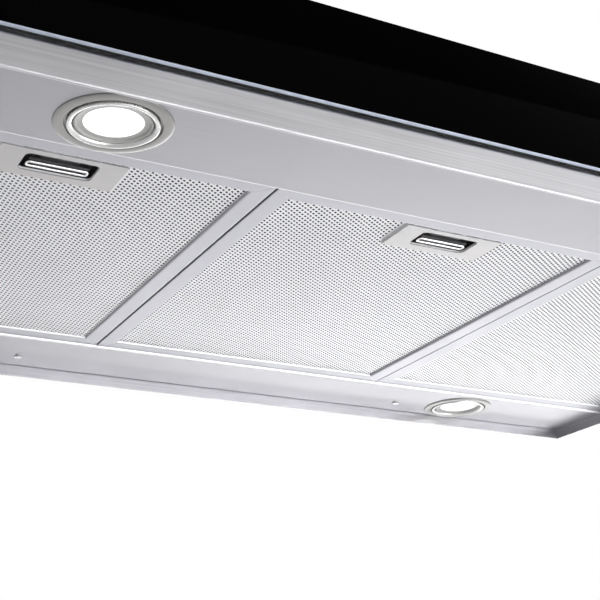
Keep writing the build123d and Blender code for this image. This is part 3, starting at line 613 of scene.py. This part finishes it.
def pattern(x0, x1, y0, y1, crest, cut, pitch, rise, thickness):
    """Six-sided flat cells, each with a four-sided funnel to a hole, and a thin back."""
    step_x, step_y = STEP_X * pitch, STEP_Y * pitch
    inner = (step_x ** 2 - (step_y / 2) ** 2) / (2 * step_x)
    outer = step_x - inner
    hidden = 2 * (RAIL - UNDER_RAIL)
    columns = 2 * round((x1 - x0 - hidden) / (2 * step_x))
    rows = round((y1 - y0 - hidden) / step_y)
    left = (x0 + x1) / 2 - columns * step_x / 2
    front = (y0 + y1) / 2 - rows * step_y / 2
    sheet = Sheet()
    for i in range(columns + 1):
        for j in range(rows + i % 2):
            x = left + i * step_x
            y = front + (j + 0.5 - 0.5 * (i % 2)) * step_y
            corners = [
                (x + outer, y), (x + inner, y + step_y / 2), (x - inner, y + step_y / 2),
                (x - outer, y), (x - inner, y - step_y / 2), (x + inner, y - step_y / 2),
            ]
            if any(cut[0] < cx < cut[1] and cy < cut[2] for cx, cy in corners):
                continue
            face = [(cx, cy, crest) for cx, cy in corners]
            back = [(cx, cy, crest + thickness) for cx, cy in corners]
            mouth = [(x + dx * pitch, y + dy * pitch, crest) for dx, dy in MOUTH]
            hole = []
            for mx, my, _ in mouth:
                hole.append((x + (mx - x) * HOLE_SHARE, y + (my - y) * HOLE_SHARE, crest + rise))
            six_to_four(sheet, face, mouth)
            for k in range(4):
                n = (k + 1) % 4
                sheet.face(mouth[k], mouth[n], hole[n], hole[k])
            six_to_four(sheet, back, hole, turned=True)
    return sheet


def add_margin(sheet, x0, x1, y0, y1, crest, cut, thickness):
    """Plain border from the pattern to the sheet's own edge and round the handle, front, back and wall."""
    shape = bmesh.new()
    points = {}

    def point(x, y):
        key = (round(x, 3), round(y, 3))
        if key not in points:
            points[key] = shape.verts.new((x, y, crest))
        return points[key]

    edges = []
    for a, b in open_edges(sheet.faces):
        va, vb = sheet.vertices[a], sheet.vertices[b]
        if abs(va[2] - crest) < 1e-6 and abs(vb[2] - crest) < 1e-6:
            edges.append((point(va[0], va[1]), point(vb[0], vb[1])))
    notch = [(cut[0], y0), (cut[0], cut[2]), (cut[1], cut[2]), (cut[1], y0)]
    outline = [(x0, y0), *notch, (x1, y0), (x1, y1), (x0, y1)]
    rim = list(zip(outline, outline[1:] + outline[:1]))
    for a, b in rim:
        edges.append((point(*a), point(*b)))
    made = [shape.edges.get(pair) or shape.edges.new(pair) for pair in edges]
    filled = bmesh.ops.triangle_fill(shape, use_beauty=True, use_dissolve=False, edges=made)
    for face in filled["geom"]:
        if isinstance(face, bmesh.types.BMFace):
            plan = [(v.co.x, v.co.y) for v in face.verts]
            sheet.face(*[(x, y, crest) for x, y in plan])
            sheet.face(*[(x, y, crest + thickness) for x, y in reversed(plan)])
    for a, b in rim:
        sheet.face((*a, crest), (*b, crest), (*b, crest + thickness), (*a, crest + thickness))
    shape.free()


def cut_for(side):
    """Where the handle plate interrupts a filter's layers: from x, to x, and up to y."""
    low, high = node_box(f"{side}_handle_plate")
    return low.x, high.x, high.y


def pierced(name, side, node, pitch, rise, thickness):
    """One pierced sheet of a filter, closed, standing for its plain CAD layer."""
    low, high = node_box(node)
    place = (low.x, high.x, low.y, high.y, low.z, cut_for(side))
    sheet = pattern(*place, pitch, rise, thickness)
    add_margin(sheet, *place, thickness)
    made = piece(name, sheet.vertices, sheet.faces, "filter_mesh", f"{side}_filter", node)
    sharpen(made, 30)


def face_sheet(side):
    pierced(f"{side}_strand_sheet", side, f"{side}_face_mesh", pitch=1, rise=0.6, thickness=0.2)


def back_sheet(side):
    # the rear sheet lies wholly behind the face, so it is all painted shade
    pierced(f"{side}_rear_sheet", side, f"{side}_back_mesh", pitch=2, rise=0.5, thickness=0.3)


def core_pack(side):
    """Knitted core: a quilted slab whose two faces wave and jitter."""
    low, high = node_box(f"{side}_filter_core")
    columns = round((high.x - low.x) / CORE_CELL)
    rows = round((high.y - low.y) / CORE_CELL)
    dx, dy = (high.x - low.x) / columns, (high.y - low.y) / rows
    cut = cut_for(side)
    grid, vertices, faces = {}, [], []
    for i in range(columns + 1):
        for j in range(rows + 1):
            x, y = low.x + i * dx, low.y + j * dy
            wave = CORE_WAVE * math.sin(x / CORE_WAVE_X) * math.sin(y / CORE_WAVE_Y)
            wave += CORE_JITTER * noise.noise(Vector((x, y, 3.0)) / CORE_JITTER_SPAN)
            grid[i, j] = len(vertices)
            vertices.append((x, y, low.z + CORE_INSET + wave))
    for i in range(columns):
        for j in range(rows):
            x, y = low.x + (i + 0.5) * dx, low.y + (j + 0.5) * dy
            if not (cut[0] < x < cut[1] and y < cut[2]):
                faces.append((grid[i, j], grid[i, j + 1], grid[i + 1, j + 1], grid[i + 1, j]))
    used = sorted({v for face in faces for v in face})
    renumber = {old: new for new, old in enumerate(used)}
    vertices = [vertices[old] for old in used]
    faces = [tuple(renumber[v] for v in face) for face in faces]
    top = high.z - CORE_BACK_INSET

    def behind(v):
        return v[0], v[1], top - CORE_BACK_SHARE * (v[2] - low.z - CORE_INSET)

    vertices, faces = closed_sheet(vertices, faces, behind)
    piece(f"{side}_knitted_pack", vertices, faces, "filter_core", f"{side}_filter", f"{side}_filter_core")


def rounded_loop(centre, reach_x, reach_y, bend):
    """Points of a flat rounded rectangle; the reaches go to the middles of its corner arcs."""
    cx, cy, cz = centre
    path = []
    step = 90 / PULL_STEPS
    for quarter, (sx, sy) in enumerate(PULL_QUARTERS):
        for k in range(PULL_STEPS + 1):
            angle = math.radians(90 * quarter + step * k)
            x = cx + sx * reach_x + bend * math.cos(angle)
            y = cy + sy * reach_y + bend * math.sin(angle)
            path.append(Vector((x, y, cz)))
    return path


def closed_tube(path, radius, sides):
    """Vertices and faces of a round bar along a closed flat path."""
    up = Vector((0, 0, 1))
    count = len(path)
    vertices, faces = [], []
    for k, point in enumerate(path):
        ahead = (path[(k + 1) % count] - path[k - 1]).normalized()
        sideways = ahead.cross(up)
        for a in range(sides):
            angle = math.tau * a / sides
            vertices.append(point + radius * (math.cos(angle) * sideways + math.sin(angle) * up))
    for k in range(count):
        for a in range(sides):
            n, b = (k + 1) % count, (a + 1) % sides
            faces.append((k * sides + a, n * sides + a, n * sides + b, k * sides + b))
    return vertices, faces


def finger_pull(side):
    """Chrome loop of two slim bars with rounded corners, carried by a black web."""
    low, high = node_box(f"{side}_latch_pull")
    middle_y = high.y - PULL_BAR - PULL_SPACING / 2
    centre = ((low.x + high.x) / 2, middle_y, low.z + PULL_BAR)
    reach_x = (high.x - low.x) / 2 - PULL_BAR - PULL_BEND
    reach_y = PULL_SPACING / 2 - PULL_BEND
    vertices, faces = closed_tube(rounded_loop(centre, reach_x, reach_y, PULL_BEND), PULL_BAR, PULL_SIDES)
    web_x = (low.x + PULL_BAR, high.x - PULL_BAR)
    web_y = (low.y, high.y - PULL_BAR)
    web_z = (centre[2] + WEB_LIFT * PULL_BAR, high.z)
    base, first_web = len(vertices), len(faces)
    vertices += [(x, y, z) for z in web_z for y in web_y for x in web_x]
    for quad in ((0, 1, 3, 2), (4, 6, 7, 5), (0, 4, 5, 1), (2, 3, 7, 6), (0, 2, 6, 4), (1, 5, 7, 3)):
        faces.append(tuple(base + q for q in quad))
    made = piece(
        f"{side}_finger_pull", vertices, faces, "latch_chrome", f"{side}_latch", f"{side}_latch_pull",
        extra=[("pull_web", range(first_web, len(faces)))],
    )
    sharpen(made, 50)


def coil_springs(side):
    """The latch's springs, which on the real hood close up against the pocket's wall as the latch slides;
    here they ride rigidly on the filter.
    """
    node = f"{side}_latch_spring"
    source = nodes[node].data
    coils = Sheet()
    for polygon in source.polygons:
        coils.face(*[tuple(source.vertices[index].co / MM) for index in polygon.vertices])
    made = piece(f"{side}_coil_springs", coils.vertices, coils.faces, "latch_steel", f"{side}_filter", node)
    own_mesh(made)


# ---------------------------------------------------------------- downlights
def bezel_ring(name, x, y):
    """Bezel with its polished inner ring, whose pale colour is partly a painted highlight, hung on the lamp
    strip.
    """
    strip_z = node_box("front_lamp_strip")[0].z
    vertices, faces = lathe(BEZEL_PROFILE, (x, y, strip_z), BEZEL_SIDES, ring=True)
    polished_highlit = [k for k in range(len(faces)) if LIP_FROM <= k % len(BEZEL_PROFILE) <= LIP_TO]
    made = piece(
        f"{name}_ring", vertices, faces, "lamp_bezel", "hood", f"{name}_bezel",
        extra=[("bezel_polish_highlight", polished_highlit)],
    )
    sharpen(made, 35)


def diffuser(name, x, y):
    """Lens with a matt rim and a shallow bowl whose middle glows; the bowl's outer ring wears the darker
    copy of the glass, painted shade.
    """
    low, high = node_box(f"{name}_lens")
    thickness = high.z - low.z
    profile = [(LENS_TIP, thickness), (LENS_R, thickness), *LENS_DISH, *LENS_BOWL]
    vertices, faces = lathe(profile, (x, y, low.z), LENS_SIDES, ring=False)
    spans = len(profile) - 1
    sides = range(LENS_SIDES * spans)
    rim = [k for k in sides if k % spans <= len(LENS_DISH) + 1]
    lit = [k for k in sides if k % spans >= spans - 2] + [len(faces) - 1]    # within GLOW_R, and the tip
    piece(
        f"{name}_diffuser", vertices, faces, "lamp_lens", "hood", f"{name}_lens",
        extra=[("lens_rim", rim), ("lens_glow", lit)],
    )


def downlight(name):
    low, high = node_box(f"{name}_bezel")
    x, y = (low.x + high.x) / 2, (low.y + high.y) / 2
    bezel_ring(name, x, y)
    diffuser(name, x, y)


# ---------------------------------------------------------------- glass front
def glass_front():
    """Bevelled panel, black but for its ground edges."""
    low, high = node_box("glass_panel")
    shape = bmesh.new()
    bmesh.ops.create_cube(shape, size=1.0)
    for vertex in shape.verts:
        vertex.co = Vector([(l + h) / 2 + c * (h - l) for l, h, c in zip(low, high, vertex.co)])
    bmesh.ops.bevel(
        shape, geom=list(shape.edges), offset=GLASS_BEVEL, segments=2, affect="EDGES", profile=0.5,
    )
    shape.verts.index_update()
    vertices = [tuple(v.co) for v in shape.verts]
    faces = [tuple(v.index for v in face.verts) for face in shape.faces]
    ground = [face.index for face in shape.faces if abs(face.normal.y) < 0.9]
    shape.free()
    made = piece(
        "glass_front", vertices, faces, "front_glass", "hood", "glass_panel",
        extra=[("glass_edge", ground)],
    )
    sharpen(made, 30)


# ---------------------------------------------------------------- studio
def place_light(name, light, place):
    made = bpy.data.objects.new(name, light)
    bpy.context.scene.collection.objects.link(made)
    made.location = place
    return made


def area(name, place, target, size, watts):
    light = bpy.data.lights.new(name, "AREA")
    light.shape = "RECTANGLE"
    light.size, light.size_y = size
    light.energy = watts
    made = place_light(name, light, place)
    made.rotation_euler = (Vector(target) - Vector(place)).to_track_quat("-Z", "Y").to_euler()
    made.visible_camera = False


def spot(name, place, degrees, watts):
    """Soft pool on the floor, from straight above it."""
    light = bpy.data.lights.new(name, "SPOT")
    light.spot_size = math.radians(degrees)
    light.spot_blend = 0.6
    light.shadow_soft_size = 0.3
    light.energy = watts
    place_light(name, light, place)


def lights():
    area("front_soft", (1.0, -2.6, 0.75), (0.0, -0.1, -0.15), (3.4, 1.1), FRONT_WATTS)
    spot("front_pool", (1.5, -2.5, 2.2), FRONT_POOL_ANGLE, FRONT_POOL_WATTS)
    area("rear_pool", (2.6, 3.0, 0.5), (2.6, 3.0, FLOOR_Z), (3.2, 1.6), REAR_POOL_WATTS)
    area("rear_band", (2.0, 3.4, -0.3), (0.0, 0.0, -0.2), (4.0, 0.8), REAR_WATTS)
    area("top_soft", (2.2, 0.9, 2.2), (2.2, 0.9, FLOOR_Z), (2.2, 2.6), TOP_WATTS)


def room():
    """White sweep for the camera; for the metal, a room bright at the right rear and dim at the left."""
    world = bpy.data.worlds.new("studio")
    bpy.context.scene.world = world
    world.use_nodes = True
    tree = world.node_tree
    link = tree.links.new
    around = tree.nodes["Background"]
    sweep = tree.nodes.new("ShaderNodeBackground")
    for background in (around, sweep):
        background.inputs["Color"].default_value = (1.0, 1.0, 1.0, 1.0)
    sweep.inputs["Strength"].default_value = 1.0
    place = tree.nodes.new("ShaderNodeTexCoord")
    toward = tree.nodes.new("ShaderNodeVectorMath")
    toward.operation = "DOT_PRODUCT"
    link(place.outputs["Generated"], toward.inputs[0])
    toward.inputs[1].default_value = BRIGHT_SIDE
    span = tree.nodes.new("ShaderNodeMapRange")
    span.interpolation_type = "SMOOTHSTEP"
    span.inputs["From Min"].default_value = 0.0
    span.inputs["From Max"].default_value = 1.0
    span.inputs["To Min"].default_value = ROOM_DIM
    span.inputs["To Max"].default_value = ROOM_BRIGHT
    link(toward.outputs["Value"], span.inputs["Value"])
    link(span.outputs["Result"], around.inputs["Strength"])
    path = tree.nodes.new("ShaderNodeLightPath")
    mix = tree.nodes.new("ShaderNodeMixShader")
    link(path.outputs["Is Camera Ray"], mix.inputs[0])
    link(around.outputs[0], mix.inputs[1])
    link(sweep.outputs[0], mix.inputs[2])
    link(mix.outputs[0], tree.nodes["World Output"].inputs["Surface"])


def floor():
    corners = [(-1, -1), (1, -1), (1, 1), (-1, 1)]
    mesh = bpy.data.meshes.new("floor")
    mesh.from_pydata([(x * FLOOR_HALF, y * FLOOR_HALF, FLOOR_Z) for x, y in corners], [], [(0, 1, 2, 3)])
    made = Shader("pale_floor", (0.86, 0.86, 0.87), 0.0, 0.75)
    made.paint(made.noise(3.0), (0.85, 0.85, 0.86), (0.87, 0.87, 0.88))
    mesh.materials.append(made.material)
    plane = bpy.data.objects.new("floor", mesh)
    bpy.context.scene.collection.objects.link(plane)


def camera():
    data = bpy.data.cameras.new("camera")
    data.lens = FOCAL_MM
    data.sensor_width = SENSOR_MM
    data.clip_start = NEAREST
    made = bpy.data.objects.new("camera", data)
    bpy.context.scene.collection.objects.link(made)
    ahead = CAMERA_AHEAD.normalized()
    right = (CAMERA_RIGHT - CAMERA_RIGHT.dot(ahead) * ahead).normalized()
    up = right.cross(ahead)
    turn = Matrix((right, up, -ahead)).transposed()
    made.matrix_world = Matrix.Translation(CAMERA_AT) @ turn.to_4x4()
    bpy.context.scene.camera = made


# ---------------------------------------------------------------- the scene
for side in SIDES:
    face_sheet(side)
    back_sheet(side)
    core_pack(side)
    finger_pull(side)
    coil_springs(side)
for lamp in LAMPS:
    downlight(lamp)
glass_front()

room()
lights()
floor()
camera()
bpy.context.scene.view_settings.view_transform = "Standard"
